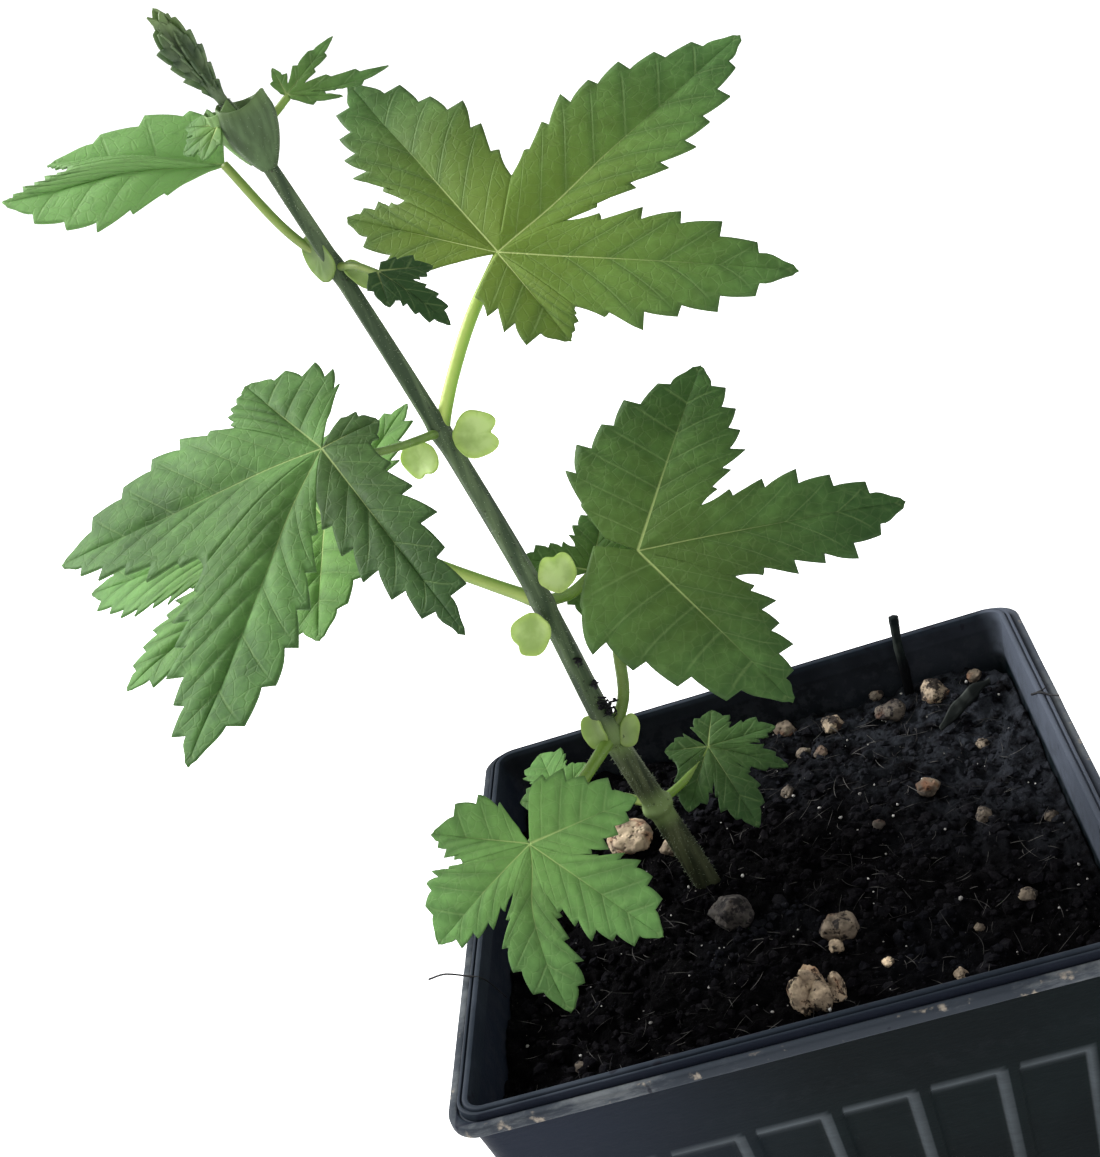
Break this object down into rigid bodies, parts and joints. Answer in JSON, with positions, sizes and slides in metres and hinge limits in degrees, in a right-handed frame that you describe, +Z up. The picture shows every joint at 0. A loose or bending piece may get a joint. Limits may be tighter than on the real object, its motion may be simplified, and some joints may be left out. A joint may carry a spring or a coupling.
{
  "type": "potted hop plant",
  "caption": "Young climbing plant with toothed, deeply lobed leaves in pairs up one leaning stem, in a square ribbed nursery pot of dark soil with small stones.",
  "frame": {"origin": "middle of the pot's underside, on the surface it stands on", "axes": "+Z up, -Y towards the pot's front face, +X to that face's right"},
  "size_m": [0.1315, 0.0948, 0.2247],
  "materials": {
    "pot_plastic": "dark blue-grey moulded plastic, scuffed and dusty on the lip",
    "soil": "damp dark peat with fibres",
    "stone": "matt beige to brown stone",
    "twig": "dark dry twig",
    "stem": "green to brown, finely haired",
    "petiole": "pale yellow-green, finely haired",
    "leaf": "thin matt leaf that lets light through",
    "scale": "papery pale yellow-green",
    "bud": "furled young leaves"
  },
  "bodies": {
    "root": {"pot": "pot_plastic", "soil": "soil", "stone_01": "stone", "stone_02": "stone", "stone_03": "stone", "stone_04": "stone", "stone_05": "stone", "stone_06": "stone", "stone_07": "stone", "stone_08": "stone", "stone_09": "stone", "stone_10": "stone", "stone_11": "stone", "rim_twig": "twig", "stem": "stem", "petiole_a_left": "petiole", "blade_a_left": "leaf", "petiole_a_right": "petiole", "blade_a_right": "leaf", "petiole_b_left": "petiole", "blade_b_left": "leaf", "petiole_b_right": "petiole", "blade_b_right": "leaf", "petiole_c_left": "petiole", "blade_c_left": "leaf", "petiole_c_right": "petiole", "blade_c_right": "leaf", "petiole_d_left": "petiole", "blade_d_left": "leaf", "petiole_d_right": "petiole", "blade_d_right": "leaf", "petiole_e_left": "petiole", "blade_e_left": "leaf", "petiole_e_right": "petiole", "blade_e_right": "leaf", "petiole_f_left": "petiole", "blade_f_left": "leaf", "petiole_f_right": "petiole", "blade_f_right": "leaf", "scale_b_left": "scale", "scale_b_right": "scale", "scale_c_upper": "scale", "scale_c_lower": "scale", "scale_d_right": "scale", "scale_d_left": "scale", "scale_e_left": "scale", "scale_e_right": "scale", "scale_f_left": "scale", "scale_f_right": "scale", "tip_bud": "bud"}
  },
  "joints": []
}
